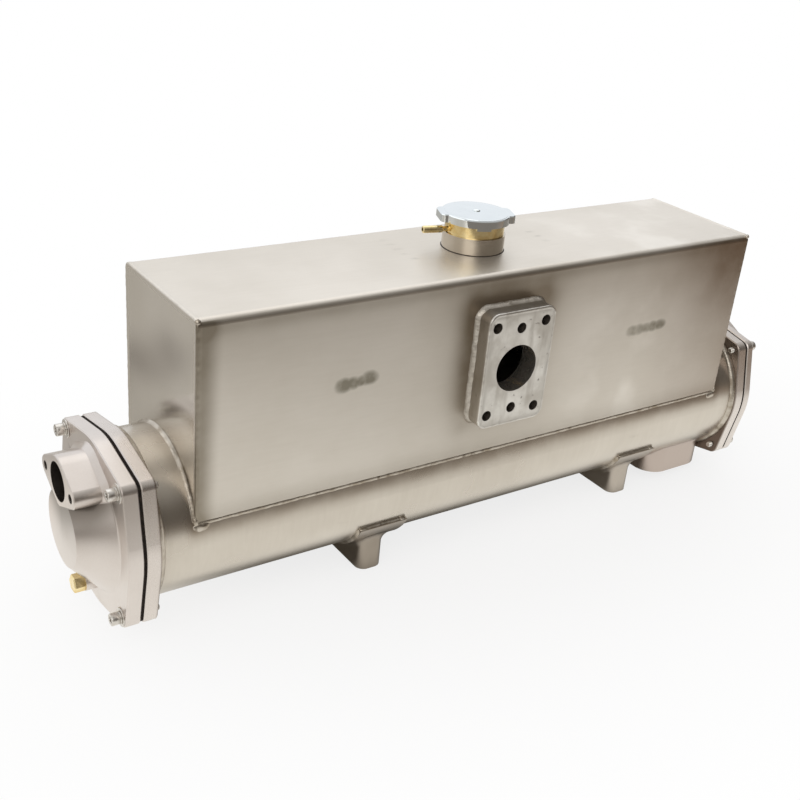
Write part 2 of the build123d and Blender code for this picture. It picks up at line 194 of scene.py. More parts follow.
class Finish(Graph):
    """A material: object coordinates in, one Principled surface out."""

    def __init__(self, name):
        self.material = bpy.data.materials.new(name)
        self.material.use_nodes = True
        super().__init__(self.material.node_tree)
        self.place = self.node("ShaderNodeTexCoord", None, None, "Object")
        self.x, self.y, self.z = self.split(self.place)

    def noise(self, scale, detail=2.0, stretch=(1, 1, 1)):
        """Smooth noise from 0 to 1 about 0.5; stretch scales the pattern along X, Y and Z."""
        place = self.node("ShaderNodeMapping", None, {"Vector": self.place, "Scale": stretch})
        return self.node("ShaderNodeTexNoise", None, {"Vector": place, "Scale": scale, "Detail": detail})

    def surface(self, colour, roughness, metallic, height=None, depth=0.0, **fixed):
        """Close the graph: height in 0..1 becomes bump of that depth; fixed sockets are numbers."""
        inputs = {"Base Color": colour, "Roughness": roughness, "Metallic": metallic}
        inputs.update({name.replace("_", " "): value for name, value in fixed.items()})
        if height is not None:
            bump = {"Strength": 1.0, "Distance": depth, "Height": height}
            inputs["Normal"] = self.node("ShaderNodeBump", None, bump)
        shader = self.node("ShaderNodeBsdfPrincipled", None, inputs)
        self.node("ShaderNodeOutputMaterial", None, {"Surface": shader})
        return self.material


def rgb(red, green, blue):
    """Linear colour from sRGB values of 0 to 255."""
    share = np.array([red, green, blue]) / 255
    linear = np.where(share < 0.04045, share / 12.92, ((share + 0.055) / 1.055) ** 2.4)
    return (*linear.tolist(), 1.0)


# Colours of the metals
steel_pale = rgb(226, 220, 211)
steel_mid = rgb(211, 204, 193)
steel_dull = rgb(178, 169, 155)
steel_wiped = rgb(240, 235, 227)
pipe_dull = rgb(198, 190, 178)
pipe_pale = rgb(217, 210, 199)
# Heat tints, which also stand for painted shade beside the seams, under the tank's bend and at the shell's
# ends
heat_and_shade_grey = rgb(150, 141, 127)
heat_and_shade_brown = rgb(132, 110, 88)
pipe_heat_and_shade = rgb(144, 130, 114)
stitch_soot = rgb(98, 92, 70)
casting_pale = rgb(230, 223, 218)
casting_dull = rgb(205, 196, 188)


def blasted_ground(finish, grain):
    """Parts that blasted steel shares: a cloudy tone, and lines along the grain."""
    cloud = finish.noise(9.0, 4.0)
    lines = finish.noise(60.0, 3.0, grain)
    return cloud, lines


def blasted_speckle(finish):
    """Fine speckle that blasting leaves on sheet and plate."""
    return finish.noise(1400.0, 2.0)


# Depth over which a mask for one wall starts and ends
mask_edge = 1 * mm


def front_wall(finish):
    """1 on the tank's front wall, 0 behind it."""
    return 1 - finish.y.rise(tank_front + mask_edge, tank_front + 2 * mask_edge)


# Heat marks on the front wall in millimetres: middle along X and Z, half length, half height
smudge_lobes = [(-214, 207, 9, 7), (-206, 208, 8, 6), (-190, 209, 9, 6.5), (-198, 208.5, 8, 5)]
stitch_lobes = [(131 + 8.8 * step, 203.5 + 0.4 * step, 9, 5.6) for step in (-2, -1, 0, 1, 2)]
stitch_wander = 5 * mm
stitch_faint = (0, 60 * mm)
stitch_dark_end = (120 * mm, 152 * mm)
# Rows of dashes on top: place along X, first and last place along Y
dash_rows = [(-113 * mm, -14 * mm, 50 * mm), (38.5 * mm, -20 * mm, 18 * mm)]
dash_pitch, dash_width, dash_fade = 13 * mm, 4.5 * mm, 4 * mm


def stitch_marks(finish):
    """Heat marks of inner welds: a pair of smudges and a row of stitches on the front wall, and
    two rows of faint dashes on top. Each lobe is soft, with darker lumps in it."""
    wander = (finish.noise(60.0, 2.0) - 0.5) * stitch_wander
    lumps = finish.noise(130.0, 3.0).rise(0.25, 0.7)
    top = finish.z.rise(tank_top - 2 * mask_edge, tank_top - mask_edge)
    marks = 0
    for middle, rise, half, tall in smudge_lobes + stitch_lobes:
        along = (finish.x - middle * mm) / (half * mm)
        off = (finish.z - rise * mm + wander) / (tall * mm)
        inside = 1 - (along * along + off * off).rise(0.1, 1.5)
        marks = inside.most(marks)
    faint = finish.x.rise(*stitch_faint) * (1 - finish.x.rise(*stitch_dark_end))
    marks = marks * (lumps * 0.25 + 0.55) * front_wall(finish) * (1 - faint * 0.3)
    pulse = (finish.y * (full_turn / dash_pitch)).math("SINE").rise(-0.2, 0.9)
    for row, first, last in dash_rows:
        dash = finish.x.near(row, dash_width) * finish.y.within(first, last, dash_fade)
        marks = dash * pulse * lumps * top * 0.2 + marks
    return marks


# Reach of the heat round the port: its two bells, and how gently it leans to one side
halo_near, halo_far, halo_lean = 16 * mm, 34 * mm, 60 * mm


def port_halo(finish):
    """Heat round the side port's foot, strongest above it and on its left."""
    across = finish.x - port_x
    up = finish.z - port_z
    beside = (abs(across) - port_width / 2).most(0)
    beyond = (abs(up) - port_tall / 2).most(0)
    away = (beside * beside + beyond * beyond).math("SQRT")
    lean = ((across * -0.7 + up * 0.9) / halo_lean).rise(-1.0, 0.9) * 0.75 + 0.25
    return (away.near(0, halo_near) * 0.75 + away.near(0, halo_far) * 0.25) * lean


# Reach of the tank's tints: wiped clouds, heat tint and painted shade along each edge, and a grey band on
# the end plates
wiped_span = (-20 * mm, 120 * mm)
edge_heat_and_shade = (1 * mm, 19 * mm)
crease_heat_and_shade = 13 * mm
bend_drop, bend_shade_width = 8 * mm, 7 * mm
top_shade_width = 34 * mm
far_start, far_end = 150 * mm, 10 * mm
plate_mask = 2 * mm
plate_rise, plate_band_width = 44 * mm, 30 * mm


def tank_sheet(name, dents):
    """Blasted stainless sheet of the tank: heat tint and painted shade along its seams and below its bend,
    and dents of that depth, if any.
    """
    finish = Finish(name)
    cloud, lines = blasted_ground(finish, (0.6, 6, 6))
    tone = cloud.rise(0.3, 0.72) * 0.65 + lines * 0.35
    colour = finish.blend(steel_mid, steel_pale, tone)
    wiped = finish.noise(15.0, 3.0).rise(0.42, 0.66) * finish.x.rise(*wiped_span)
    colour = finish.blend(colour, steel_wiped, wiped * 0.6)
    patchy = finish.noise(30.0, 4.0).rise(0.15, 0.75)
    front, halo = front_wall(finish), port_halo(finish)
    rise = finish.z - axis_z
    # Painted shade with heat tint: darker along the left edge and above the wall's foot; the dark bands
    # below the bend and at the top are painted shade alone.
    edge = 1 - (finish.x - tank_left - rise * 0.025).rise(*edge_heat_and_shade)
    crease = rise.near(wall_foot, crease_heat_and_shade) * 0.4
    crown = finish.z.near(tank_top - bend_drop, bend_shade_width) * 0.35 + finish.z.near(tank_top, top_shade_width) * 0.2
    grey = (edge * 0.95 + crease + crown + halo * 1.2) * front
    # Browner towards the right end and high up: heat tint and painted shade.
    far = finish.x.rise(tank_right - far_start, tank_right + far_end)
    high = rise.rise(0.45 * tank_rise, tank_rise)
    brown = (far * 0.5 + far * high * 0.45 + halo * 0.3) * front
    plates = finish.x.near(tank_left, plate_mask) + finish.x.near(tank_right, plate_mask)
    grey = grey + plates * rise.near(wall_foot + plate_rise, plate_band_width) * 0.25
    colour = finish.blend(colour, heat_and_shade_grey, (grey * (patchy * 0.3 + 0.75)).least(1))
    colour = finish.blend(colour, heat_and_shade_brown, (brown * (patchy * 0.4 + 0.7)).least(1))
    colour = finish.blend(colour, stitch_soot, stitch_marks(finish).least(0.7))
    if dents:
        roughness = cloud * 0.08 + 0.13
        relief = finish.noise(7.0, 1.0) * dents
    else:
        speckle = blasted_speckle(finish)
        roughness = cloud * 0.1 + speckle * 0.06 + 0.33
        relief = speckle * 0.035 + lines * 0.015
    return finish.surface(colour, roughness, 0.94, relief, 1.0 * mm)


# Reach of the heat tint and painted shade on the shell: below the tank's long beads, past its ends, and at
# the flanges
long_drop, long_heat_and_shade, long_fade = 5 * mm, 9 * mm, 12 * mm
arc_heat_and_shade, arc_rise = 12 * mm, (8 * mm, 24 * mm)
flange_heat_and_shade = 17 * mm


def shell_pipe():
    """Polished pipe of the shell: lines round the pipe, scuffs, and heat tint with painted shade beside its
    welds.
    """
    finish = Finish("shell_pipe")
    cloud, lines = blasted_ground(finish, (5, 0.8, 0.8))
    colour = finish.blend(pipe_dull, pipe_pale, cloud.rise(0.3, 0.7) * 0.6 + lines * 0.4)
    patchy = finish.noise(42.0, 4.0).rise(0.15, 0.7)
    rise = finish.z - axis_z
    # Darker below the tank's long beads, past its ends and beside the flanges: heat tint and painted shade.
    under_tank = finish.x.within(tank_left, tank_right, long_fade)
    pipe_heat_and_shade_mask = rise.near(wall_foot - long_drop, long_heat_and_shade) * under_tank * 0.7
    for end in (tank_left, tank_right):
        pipe_heat_and_shade_mask = finish.x.near(end, arc_heat_and_shade) * rise.rise(*arc_rise) * 0.5 + pipe_heat_and_shade_mask
    for end in shell_end.values():
        pipe_heat_and_shade_mask = finish.x.near(end, flange_heat_and_shade) * 0.35 + pipe_heat_and_shade_mask
    colour = finish.blend(colour, pipe_heat_and_shade, (pipe_heat_and_shade_mask * (patchy * 0.4 + 0.65)).least(0.85))
    scuff = finish.noise(26.0, 4.0, (1, 1, 2.4)).rise(0.62, 0.8)
    colour = finish.blend(colour, steel_dull, scuff * 0.5)
    roughness = cloud * 0.1 + 0.23
    return finish.surface(colour, roughness, 0.94, lines, 0.03 * mm)


# Painted shade under a nozzle: how far down, how sharp on top, where its sides fade; then the bore's edge
nozzle_shade_reach, nozzle_shade_edge = 24 * mm, 0.5 * mm
nozzle_shade_sides = (36 * mm, 60 * mm)
bore_shade_edge = (0.1 * mm, 0.5 * mm)


def cover_casting():
    """Blasted casting of the covers: pale, with a sandy tone, soft stains, painted shade below the
    nozzle and a bore darkened by painted shade."""
    finish = Finish("cover_casting")
    cloud = finish.noise(9.0, 4.0)
    sand = finish.noise(620.0, 3.0)
    stain = finish.noise(30.0, 4.0).rise(0.55, 0.8)
    colour = finish.blend(casting_dull, casting_pale, cloud.rise(0.2, 0.7) * 0.7 + sand * 0.3)
    colour = finish.blend(colour, casting_dull, stain * 0.5)
    # Painted shade under the nozzle: darkest just below it, fading downwards and to the sides.
    up = finish.z - axis_z - nozzle_rise
    below = abs(finish.y) * 0.45 - up - nozzle_middle_radius
    nozzle_shade = below.near(0, nozzle_shade_reach) * below.rise(-nozzle_shade_edge, nozzle_shade_edge)
    nozzle_shade = nozzle_shade * (1 - abs(finish.y).rise(*nozzle_shade_sides))
    colour = finish.blend(colour, rgb(112, 104, 95), nozzle_shade * 0.85)
    # Bore darkened: painted shade inside it.
    out = (finish.y * finish.y + up * up).math("SQRT") - nozzle_bore_radius
    bore = 1 - out.rise(*bore_shade_edge)
    colour = finish.blend(colour, rgb(84, 74, 64), bore * 0.9)
    return finish.surface(colour, sand * 0.08 + 0.26, 0.92)


# Depth of the darkened skin on a flange's inner face: scorching and painted shade
flange_scorch_and_shade = 1.2 * mm


def flange_plate():
    """Cut plate of the shell's flanges: faint milling lines, and inner faces darkened by scorching and
    painted shade.
    """
    finish = Finish("flange_plate")
    cloud, lines = blasted_ground(finish, (4, 1, 1))
    colour = finish.blend(casting_dull, casting_pale, cloud.rise(0.25, 0.7) * 0.8 + lines * 0.2)
    # Inner faces darker: heat tint and painted shade.
    inner = 0
    for name, side in ends.items():
        inner = finish.x.near(inner_face(name, side), flange_scorch_and_shade) + inner
    colour = finish.blend(colour, rgb(96, 76, 60), inner * (cloud * 0.5 + 0.5))
    return finish.surface(colour, lines * 0.05 + 0.25, 0.92)


# Darker line inside the port's rim, the bore's edge, and the depths where its face and sides begin
rim_line_inset, rim_line_width = 3.4 * mm, 2.2 * mm
port_bore_edge = 0.6 * mm
port_face_depth, port_side_depth = 1 * mm, 4 * mm


def port_pad():
    """Hand-ground pad of the side port: pale, with short strokes, dark nicks, a darker line inside its
    rim, duller sides and a grey bore."""
    finish = Finish("port_pad")
    cloud = finish.noise(45.0, 4.0)
    strokes = finish.noise(110.0, 3.0, (1.0, 1.0, 0.22))
    nicks = finish.noise(210.0, 3.0).rise(0.66, 0.76)
    colour = finish.blend(rgb(196, 191, 183), rgb(232, 229, 223), cloud.rise(0.3, 0.68))
    colour = finish.blend(colour, rgb(164, 157, 147), strokes.rise(0.5, 0.8) * 0.5)
    colour = finish.blend(colour, rgb(82, 74, 65), nicks * 0.55)
    middle = finish.x - port_x
    across = middle + port_shift
    up = finish.z - port_z
    inset = (port_width / 2 - abs(middle)).least(port_tall / 2 - abs(up))
    rim_line = inset.near(rim_line_inset, rim_line_width) * cloud.rise(0.35, 0.65)
    colour = finish.blend(colour, rgb(112, 104, 94), rim_line * 0.4)
    out = (across * across + up * up).math("SQRT")
    bore = 1 - out.rise(port_bore_radius, port_bore_radius + port_bore_edge)
    bore = bore * finish.y.rise(port_low.y, port_low.y + port_face_depth)
    behind = finish.y.rise(port_low.y + port_face_depth, port_low.y + port_side_depth)
    colour = finish.blend(colour, rgb(158, 148, 133), behind * 0.6)
    colour = finish.blend(colour, rgb(196, 186, 172), bore * 0.9)
    roughness = strokes * 0.16 - bore * 0.08 + 0.26
    relief = strokes * 0.6 + cloud * 0.9 - nicks * 0.8
    return finish.surface(colour, roughness, 0.9, relief, 0.25 * mm)


def weld_metal():
    """Blasted weld beads: the sheet's colour, with grey in places and dark ticks where runs meet."""
    finish = Finish("weld_metal")
    oxide = finish.noise(95.0, 4.0)
    flecks = finish.noise(700.0, 2.0)
    ticks = finish.noise(130.0, 2.0, (1.0, 0.4, 0.4)).rise(0.56, 0.7)
    colour = finish.blend(rgb(200, 192, 180), rgb(158, 146, 129), oxide.rise(0.35, 0.75))
    colour = finish.blend(colour, rgb(112, 100, 86), ticks * 0.7)
    return finish.surface(colour, flecks * 0.1 + 0.27, 0.94, flecks, 0.03 * mm)


def tapped_steel():
    """Oily tapped threads: dark and dull, with painted shade inside the holes."""
    finish = Finish("tapped_steel")
    film = finish.noise(300.0, 2.0)
    colour = finish.blend(rgb(36, 31, 26), rgb(66, 58, 50), film)
    return finish.surface(colour, film * 0.2 + 0.4, 0.7, film, 0.03 * mm)


def turned_steel():
    """Turned steel of the filler collar: fine rings and a clean sheen."""
    finish = Finish("turned_steel")
    rings = finish.noise(60.0, 2.0, (0.5, 0.5, 40))
    cloud = finish.noise(30.0, 3.0)
    colour = finish.blend(rgb(188, 178, 164), rgb(216, 208, 196), cloud)
    return finish.surface(colour, rings * 0.1 + 0.14, 0.97, rings, 0.02 * mm)


def screw_steel():
    """Bright stainless of the screws and washers, with grey in the rolled and turned marks."""
    finish = Finish("screw_steel")
    wear = finish.noise(240.0, 3.0)
    colour = finish.blend(rgb(200, 195, 188), rgb(224, 220, 214), wear.rise(0.3, 0.65))
    return finish.surface(colour, wear * 0.08 + 0.28, 0.96)


# How far before the outlet block its tint starts and is full
block_tint = (4 * mm, 3 * mm)


def foot_steel():
    """Feet, saddles and outlet block: blasted plate, dull on the feet, paler and warm on the block."""
    finish = Finish("foot_steel")
    cloud, lines = blasted_ground(finish, (4, 4, 1))
    relief = blasted_speckle(finish) * 0.6 + lines * 0.4
    colour = finish.blend(rgb(150, 140, 128), rgb(188, 179, 168), cloud.rise(0.25, 0.75))
    on_block = finish.x.rise(outlet_low.x - block_tint[0], outlet_low.x - block_tint[1])
    colour = finish.blend(colour, rgb(192, 179, 170), on_block)
    return finish.surface(colour, cloud * 0.12 + 0.25, 0.93, relief, 0.05 * mm)


def turned_brass():
    """Turned brass of the neck, spout and plugs: rings, with a duller film here and there."""
    finish = Finish("turned_brass")
    rings = finish.noise(50.0, 2.0, (1, 1, 30))
    film = finish.noise(90.0, 4.0)
    colour = finish.blend(rgb(250, 231, 178), rgb(230, 202, 138), film.rise(0.35, 0.7))
    colour = finish.blend(colour, rgb(160, 124, 70), film.rise(0.64, 0.82) * 0.5)
    return finish.surface(colour, film * 0.12 + 0.12, 0.98, rings * 0.7 + film * 0.3, 0.02 * mm)


def bright_chrome():
    """Chrome plate of the pressure cap: near mirror, with faint wipe marks."""
    finish = Finish("bright_chrome")
    wipe = finish.noise(70.0, 3.0)
    colour = finish.blend(rgb(220, 226, 228), rgb(230, 235, 237), wipe)
    return finish.surface(colour, wipe * 0.05 + 0.04, 1.0, wipe, 0.01 * mm)


def gasket_fibre():
    """Dark pressed-fibre gasket with a slightly frayed edge."""
    finish = Finish("gasket_fibre")
    fibre = finish.noise(480.0, 3.0)
    colour = finish.blend(rgb(24, 18, 14), rgb(50, 40, 32), fibre.rise(0.4, 0.75))
    return finish.surface(colour, fibre * 0.2 + 0.7, 0.0, fibre, 0.2 * mm, Specular_IOR_Level=0.2)


def tube_alloy():
    """Drawn copper alloy of the tubes and tube sheets, browned by water."""
    finish = Finish("tube_alloy")
    cloud = finish.noise(60.0, 4.0)
    lines = finish.noise(90.0, 2.0, (0.05, 1, 1))
    colour = finish.blend(rgb(150, 108, 78), rgb(206, 158, 116), cloud.rise(0.3, 0.7))
    return finish.surface(colour, cloud * 0.2 + 0.25, 0.95, lines, 0.03 * mm)


sheet_finish = tank_sheet("tank_sheet", 0)
end_finish = tank_sheet("tank_end_plate", 4.0)
pipe_finish = shell_pipe()
casting_finish = cover_casting()
plate_finish = flange_plate()
pad_finish = port_pad()
weld_finish = weld_metal()
thread_finish = tapped_steel()
collar_finish = turned_steel()
screw_finish = screw_steel()
foot_finish = foot_steel()
brass_finish = turned_brass()
chrome_finish = bright_chrome()
gasket_finish = gasket_fibre()
tube_finish = tube_alloy()
finish_of = {
    "tank_wrapper": sheet_finish, "tank_end": end_finish, "shell_tube": pipe_finish,
    "shell_flange": plate_finish, "end_cover": casting_finish, "gasket": gasket_finish,
    "side_port_flange": pad_finish, "filler_collar": collar_finish, "filler_neck": brass_finish,
    "overflow_spout": brass_finish, "drain_plug": brass_finish, "pressure_cap": chrome_finish,
    "tube_bundle": tube_finish, "tube_sheet": tube_finish, "saddle_plate": foot_finish,
    "foot": foot_finish, "outlet_block": foot_finish,
}
for node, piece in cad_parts.items():
    kind = node.removesuffix("_left").removesuffix("_right")
    for place in piece.material_slots:
        place.material = finish_of[kind]


# Finish of every mesh, and the frame's directions
merge_gap = 0.002 * mm
sharp_angle = np.radians(38)
upward = np.array([0, 0, 1.0])
forward = np.array([0, -1.0, 0])
lengthwise = np.array([1.0, 0, 0])


def surface(points, wrap_rows=False, wrap_columns=False):
    """Vertices and quads of a grid: quad (i, j) joins rows i, i+1 and columns j, j+1."""
    rows, columns = points.shape[:2]
    index = np.arange(rows * columns).reshape(rows, columns)
    if wrap_rows:
        index = np.vstack([index, index[:1]])
    if wrap_columns:
        index = np.hstack([index, index[:, :1]])
    corners = (index[:-1, :-1], index[1:, :-1], index[1:, 1:], index[:-1, 1:])
    return points.reshape(-1, 3), np.stack(corners, axis=-1).reshape(-1, 4)


def add_piece(name, surfaces, finish, body="exchanger"):
    """One object of several closed grids: poles and seams merged, faces turned outwards."""
    counts = [len(points) for points, quads in surfaces]
    starts = np.cumsum([0, *counts[:-1]])
    points = np.concatenate([part for part, quads in surfaces])
    quads = np.concatenate([quads + start for (part, quads), start in zip(surfaces, starts)])
    mesh = bpy.data.meshes.new(name)
    mesh.from_pydata(points.tolist(), [], quads.tolist())
    work = bmesh.new()
    work.from_mesh(mesh)
    bmesh.ops.remove_doubles(work, verts=work.verts, dist=merge_gap)
    bmesh.ops.recalc_face_normals(work, faces=work.faces)
    work.to_mesh(mesh)
    work.free()
    mesh.polygons.foreach_set("use_smooth", np.ones(len(mesh.polygons), bool))
    mesh.set_sharp_from_angle(angle=sharp_angle)
    mesh.materials.append(finish)
    piece = bpy.data.objects.new(name, mesh)
    bpy.context.scene.collection.objects.link(piece)
    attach(piece, body)


def unit(vectors):
    """Vectors scaled to length 1."""
    return vectors / np.linalg.norm(vectors, axis=-1, keepdims=True)


def slow_wave(along, length, seed, turns):
    """Sum of a few sines with whole turns over the length and seeded phases, about -1 to 1."""
    phases = np.random.default_rng(seed).uniform(0, full_turn, len(turns))
    waves = [np.sin(full_turn * n * along / length + p) for n, p in zip(turns, phases)]
    return sum(waves) / len(turns)


# Skin of every bead
ripple_pitch, ripple_height = 3.2 * mm, 0.05 * mm
ripple_steps = 5
ripple_bow_share = 0.45
swell_pitches = (9 * mm, 13 * mm, 22 * mm, 37 * mm, 61 * mm)
bead_columns = 13
bead_taper = 4 * mm
bead_sink, bead_root = 0.12 * mm, 0.9 * mm
lip_place_share, lip_width_share = 0.88, 0.07

# Each bead's legs on its two plates, and the crown over the line between their ends
wall_fillet = (1.3 * mm, 2.1 * mm, 0.3 * mm)
end_fillet, end_lip = (2.2 * mm, 3.0 * mm, -0.3 * mm), 0.25 * mm
flange_fillet = (3.4 * mm, 4.6 * mm, 1.0 * mm)
port_fillet = (2.8 * mm, 4.2 * mm, 0.35 * mm)
collar_fillet = (0.9 * mm, 0.8 * mm, 0.1 * mm)
foot_fillet = (7 * mm, 7 * mm, -1.6 * mm)
outlet_fillet = (3 * mm, 3 * mm, -0.4 * mm)
saddle_leg, saddle_crown = 2.4 * mm, 0.2 * mm
corner_leg, corner_crown = 1.8 * mm, 0.3 * mm
corner_runs = (9 * mm, 7 * mm)
ledge_leg, ledge_crown = 1.4 * mm, 0.1 * mm
ledge_gaps = (5 * mm, 4 * mm)
ledge_share = 0.55


def steps_for(length):
    """Rows along a bead of that length, so that each ripple gets its share."""
    return int(round(length / ripple_pitch)) * ripple_steps


def bead(path, along_a, along_b, leg_a, leg_b, crown, seed, closed=False, uneven=0.14, lip=0.0):
    """Weld bead on a path between plates a and b.

    With s from 0 to 1 across the bead, a point is path + a leg_a (1-s) + b leg_b s
    + out (crown 4s(1-s) + lip exp(-((s-0.88)/0.07)^2)), where out bisects the plates. Waves of
    9 to 61 mm swell the legs and the crown, faint ripples that bow back in the middle ride on
    it, and an open bead tapers to a point at both ends. The last column lies in the root.
    """
    along_a = np.broadcast_to(along_a, path.shape)
    along_b = np.broadcast_to(along_b, path.shape)
    following = np.roll(path, -1, axis=0) if closed else path[1:]
    steps = np.linalg.norm(following - path[: len(following)], axis=1)
    along = np.concatenate([[0], np.cumsum(steps)])[: len(path)]
    length = steps.sum()
    turns = [max(1, round(length / pitch)) for pitch in swell_pitches]
    swell_a = 1 + uneven * slow_wave(along, length, seed, turns)
    swell_b = 1 + uneven * slow_wave(along, length, seed + 1, turns)
    lift = 1 + 2.0 * uneven * slow_wave(along, length, seed + 2, turns)
    taper = np.ones(len(path))
    if not closed:
        share = np.clip(np.minimum(along, length - along) / bead_taper, 0, 1)
        taper = np.sqrt(1 - (1 - share) ** 2)
    across = np.linspace(0, 1, bead_columns)
    count = round(length / ripple_pitch)
    bow = ripple_bow_share * (1 - (2 * across - 1) ** 2)
    phase = full_turn * (along[:, None] * count / length - bow[None, :])
    arch = 4 * across * (1 - across)
    edge = np.exp(-(((across - lip_place_share) / lip_width_share) ** 2))
    bulge = (crown * arch + lip * edge) * lift[:, None] + ripple_height * arch * np.sin(phase)
    out = unit(along_a + along_b)
    side_a = (leg_a * swell_a * taper)[:, None, None] * along_a[:, None] * (1 - across)[None, :, None]
    side_b = (leg_b * swell_b * taper)[:, None, None] * along_b[:, None] * across[None, :, None]
    raised = (bulge * taper[:, None])[..., None] * out[:, None]
    sunk = (bead_sink * taper)[:, None, None] * out[:, None]
    skin = path[:, None] + side_a + side_b + raised - sunk
    root = path - out * (bead_root * taper)[:, None]
    return surface(np.concatenate([skin, root[:, None]], axis=1), closed, True)


def line(start, end):
    """Evenly spaced points from start to end."""
    start, end = np.array(start), np.array(end)
    share = np.linspace(0, 1, steps_for(np.linalg.norm(end - start)))[:, None]
    return start + (end - start) * share


def rounded_outline(width, height, corner):
    """Points and outward normals of a rounded rectangle about 0, 0: four sides and four arcs."""
    points, normals = [], []
    for quarter in range(4):
        turn = quarter * np.pi / 2
        angles = turn + np.linspace(0, np.pi / 2, steps_for(corner * np.pi / 2) + 1)
        arc = np.stack([np.cos(angles), np.sin(angles)], axis=1)
        signs = np.sign(np.array([np.cos(turn + np.pi / 4), np.sin(turn + np.pi / 4)]))
        centre = signs * (np.array([width, height]) / 2 - corner)
        side = (height if quarter % 2 else width) - 2 * corner
        step = np.linspace(0, side, steps_for(side) + 1)[1:-1]
        way = np.array([-np.sin(turn + np.pi / 2), np.cos(turn + np.pi / 2)])
        points += [centre + corner * arc, centre + corner * arc[-1] + step[:, None] * way]
        normals += [arc, np.broadcast_to(arc[-1], (len(step), 2))]
    return np.concatenate(points), np.concatenate(normals)


def ring_of(radius, first=0.0, last=full_turn):
    """Angles along an arc of that radius, spaced for the ripples."""
    return np.linspace(first, last, steps_for(radius * (last - first)), endpoint=last - first < full_turn)


def tank_beads():
    """Tank on the shell: a straight bead under the front and back walls, an arc under each end."""
    beads = []
    for number, wall in enumerate((tank_front, tank_back)):
        path = line((tank_left, wall, axis_z + wall_foot), (tank_right, wall, axis_z + wall_foot))
        down = np.array([0, np.sign(wall) * wall_foot, -abs(wall)]) / shell_radius
        beads.append(bead(path, upward, down, *wall_fillet, 10 + number, uneven=0.16))
    reach = np.arcsin(tank_back / shell_radius)
    for number, (end, side) in enumerate(tank_ends):
        angles = ring_of(shell_radius, -reach, reach)
        radial = np.stack([0 * angles, np.sin(angles), np.cos(angles)], axis=1)
        path = np.array([end, 0, axis_z]) + shell_radius * radial
        outward = side * lengthwise
        beads.append(bead(path, radial, outward, *end_fillet, 20 + number, uneven=0.09, lip=end_lip))
    return beads


# Lumps at a tank corner in millimetres: place inwards, outwards and up from the corner, then half sizes
shell_drops = [((4.5, 0.0, -4.0), (7.5, 2.2, 4.0)), ((0.4, -1.2, 1.0), (2.4, 2.6, 4.5))]
top_ball = (1.2, -1.5, (tank_rise - wall_foot) / mm - 1.6), (2.2, 2.2, 2.2)
lump_rows, lump_columns = 24, 40


def corner_blobs():
    """Lumps of weld at the tank's corners: two squashed drops on the shell, and a ball on top in front.

    A lump is its place + half sizes times a unit ball's point times 1 + two small sine waves.
    """
    lumps = []
    across = np.linspace(0, np.pi, lump_rows)[:, None]
    around = np.linspace(0, full_turn, lump_columns, endpoint=False)[None, :]
    ball = np.stack([np.sin(across) * np.cos(around), np.sin(across) * np.sin(around),
                     np.cos(across) + 0 * around], axis=-1)
    corners = [(*end, wall) for end in tank_ends for wall in (tank_front, tank_back)]
    for number, (end, side, wall) in enumerate(corners):
        rough = 1 + 0.06 * np.sin(2 * around + 2 * across + number) + 0.04 * np.sin(5 * around - 3 * across)
        drops = [*shell_drops, top_ball] if wall < 0 else shell_drops
        for (along, out, up), size in drops:
            place = np.array([end, wall, axis_z + wall_foot])
            place = place + np.array([-side * along, np.sign(wall) * out, up]) * mm
            lumps.append(surface(place + ball * np.array(size) * mm * rough[..., None], False, True))
    return lumps


def flange_beads():
    """Ring bead round the shell against the inner face of each flange."""
    beads = []
    angles = ring_of(shell_radius)
    radial = np.stack([0 * angles, np.sin(angles), np.cos(angles)], axis=1)
    for name, side in ends.items():
        path = np.array([inner_face(name, side), 0, axis_z]) + shell_radius * radial
        inward = -side * lengthwise
        beads.append(bead(path, radial, inward, *flange_fillet, 30 + side, closed=True, uneven=0.03))
    return beads


def port_outline(depth):
    """Outline of the side port at that depth along Y, and its outward normals."""
    outline, normal = rounded_outline(port_width, port_tall, port_corner)
    flat = 0 * outline[:, 0]
    path = np.array([port_x, depth, port_z]) + np.stack([outline[:, 0], flat, outline[:, 1]], axis=1)
    return path, np.stack([normal[:, 0], flat, normal[:, 1]], axis=1)


def port_bead():
    """Bead round the foot of the side port, on the tank's front wall."""
    path, outward = port_outline(tank_front)
    return [bead(path, outward, forward, *port_fillet, 41, closed=True, uneven=0.16)]


def collar_bead():
    """Thin bead round the foot of the filler collar."""
    angles = ring_of(collar_radius)
    radial = np.stack([np.cos(angles), np.sin(angles), 0 * angles], axis=1)
    path = np.array([neck_x, 0, tank_top]) + collar_radius * radial
    return [bead(path, radial, upward, *collar_fillet, 51, closed=True, uneven=0.1)]


def hanging_bead(low, high, corner, radius, fillet, seed):
    """Bead where an upright block meets a cylinder along X from below.

    The block's outline is lifted onto the cylinder, z = axis - sqrt(radius^2 - y^2). One plate
    is the cylinder's skin, away from the block; the other is the block's side, downwards.
    """
    outline, normal = rounded_outline(high.x - low.x, high.y - low.y, corner)
    drop = np.sqrt(radius**2 - outline[:, 1] ** 2)
    path = np.stack([outline[:, 0] + (low.x + high.x) / 2, outline[:, 1], axis_z - drop], axis=1)
    skin = np.stack([0 * drop, outline[:, 1], -drop], axis=1) / radius
    outward = np.stack([normal[:, 0], normal[:, 1], 0 * drop], axis=1)
    along = unit(outward - (outward * skin).sum(axis=1, keepdims=True) * skin)
    return bead(path, along, -upward, *fillet, seed, closed=True, uneven=0.08)


def foot_beads():
    """Hollow fillets where each foot meets its saddle plate."""
    beads = []
    for number, name in enumerate(ends):
        radius = axis_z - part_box(f"saddle_plate_{name}")[0].z
        beads.append(hanging_bead(*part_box(f"foot_{name}"), foot_corner, radius, foot_fillet, 60 + number))
    return beads


